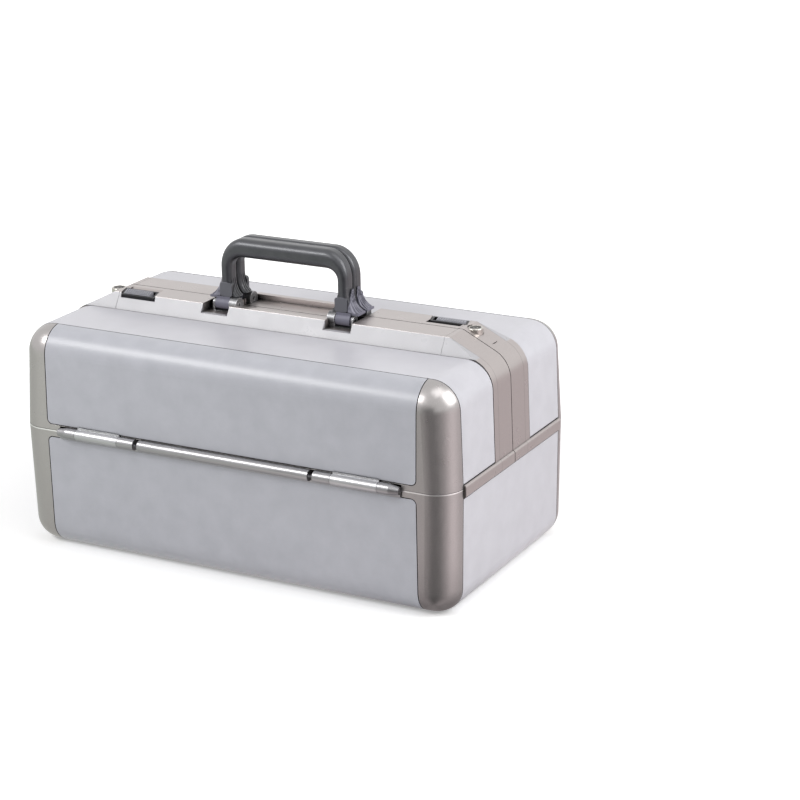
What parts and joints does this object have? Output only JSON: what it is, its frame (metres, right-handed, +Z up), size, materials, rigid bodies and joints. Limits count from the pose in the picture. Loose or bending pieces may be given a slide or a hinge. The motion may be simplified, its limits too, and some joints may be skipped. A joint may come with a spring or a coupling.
{
  "type": "medicine case",
  "caption": "Rounded rectangular medicine case with a deep tray, lids that meet along a raised middle spine and open outwards, and a folding split carrying handle.",
  "frame": {"origin": "middle of the flat bottom that the case stands on", "axes": "+X along the length of the case, -Y towards the front hinge, +Z up through the handle"},
  "size_m": [0.4446, 0.259, 0.281],
  "materials": {
    "shell_moulding": "warm grey metallic lacquer on the moulded shell, light sheen",
    "face_skin": "silver grey skin, satin, finely textured",
    "end_skin": "light silver skin, satin, finely textured",
    "closing_frame": "grey beige metallic lacquer, satin",
    "lining": "dark grey felt-faced liner",
    "hinge_aluminium": "satin anodised",
    "handle_plastic": "charcoal, soft sheen",
    "ear_plastic": "purple grey, matt",
    "bracket_casting": "grey die casting, grainy",
    "latch_plastic": "black, glossy",
    "button_plastic": "mid grey, ribbed",
    "chrome": "bright nickel plate",
    "steel": "plain steel"
  },
  "bodies": {
    "tray": {"tray_shell": "shell_moulding", "tray_front_skin": "face_skin", "tray_back_skin": "face_skin", "tray_left_skin": "end_skin", "tray_right_skin": "end_skin", "tray_base_panel": "shell_moulding", "tray_lining": "lining", "tray_front_hinge": "hinge_aluminium", "tray_back_hinge": "hinge_aluminium", "front_hinge_pins": "steel", "back_hinge_pins": "steel"},
    "front_lid": {"front_lid_shell": "shell_moulding", "front_lid_face_skin": "face_skin", "front_lid_top_skin": "end_skin", "front_lid_lining": "lining", "front_lid_spine": "closing_frame", "front_lid_hinge_knuckles": "hinge_aluminium", "front_latch_bezel": "latch_plastic", "front_lock_collar": "chrome", "front_left_end_frame": "closing_frame", "front_left_handle_bracket": "bracket_casting", "front_left_handle_pin": "steel", "front_right_end_frame": "closing_frame", "front_right_handle_bracket": "bracket_casting", "front_right_handle_pin": "steel", "back_latch_keeper": "steel"},
    "front_handle": {"front_handle_grip": "handle_plastic", "front_left_handle_ear": "ear_plastic", "front_right_handle_ear": "ear_plastic"},
    "front_latch": {"front_latch_button": "button_plastic", "front_latch_hook": "steel"},
    "back_lid": {"front_latch_keeper": "steel", "back_lid_shell": "shell_moulding", "back_lid_face_skin": "face_skin", "back_lid_top_skin": "end_skin", "back_lid_lining": "lining", "back_lid_spine": "closing_frame", "back_lid_hinge_knuckles": "hinge_aluminium", "back_latch_bezel": "latch_plastic", "back_lock_collar": "chrome", "back_left_end_frame": "closing_frame", "back_left_handle_bracket": "bracket_casting", "back_left_handle_pin": "steel", "back_right_end_frame": "closing_frame", "back_right_handle_bracket": "bracket_casting", "back_right_handle_pin": "steel"},
    "front_lock": {"front_lock_plug": "chrome", "front_lock_cam": "steel"},
    "back_handle": {"back_handle_grip": "handle_plastic", "back_left_handle_ear": "ear_plastic", "back_right_handle_ear": "ear_plastic"},
    "back_latch": {"back_latch_button": "button_plastic", "back_latch_hook": "steel"},
    "back_lock": {"back_lock_plug": "chrome", "back_lock_cam": "steel"}
  },
  "joints": [
    {"name": "front_lid_hinge", "type": "hinge", "parent": "tray", "child": "front_lid", "pos_m": [0, -0.1245, 0.114], "axis": [1, 0, 0], "range_deg": [0, 175]},
    {"name": "front_handle_fold", "type": "hinge", "parent": "front_lid", "child": "front_handle", "pos_m": [0, -0.0127, 0.2195], "axis": [1, 0, 0], "range_deg": [0, 70]},
    {"name": "front_latch_slide", "type": "slide", "parent": "front_lid", "child": "front_latch", "axis": [1, 0, 0], "range_m": [0, 0.0032], "stiffness_N_per_m": 150, "springref_m": -0.001},
    {"name": "front_lock_turn", "type": "hinge", "parent": "front_lid", "child": "front_lock", "pos_m": [-0.1785, -0.0118, 0.21], "axis": [0, 0, 1], "range_deg": [0, 90]},
    {"name": "back_lid_hinge", "type": "hinge", "parent": "tray", "child": "back_lid", "pos_m": [0, 0.1245, 0.114], "axis": [-1, 0, 0], "range_deg": [0, 175]},
    {"name": "back_handle_fold", "type": "hinge", "parent": "back_lid", "child": "back_handle", "pos_m": [0, 0.0127, 0.2195], "axis": [-1, 0, 0], "range_deg": [0, 70]},
    {"name": "back_latch_slide", "type": "slide", "parent": "back_lid", "child": "back_latch", "axis": [-1, 0, 0], "range_m": [0, 0.0032], "stiffness_N_per_m": 150, "springref_m": -0.001},
    {"name": "back_lock_turn", "type": "hinge", "parent": "back_lid", "child": "back_lock", "pos_m": [0.1785, 0.0118, 0.21], "axis": [0, 0, 1], "range_deg": [0, 90]}
  ]
}
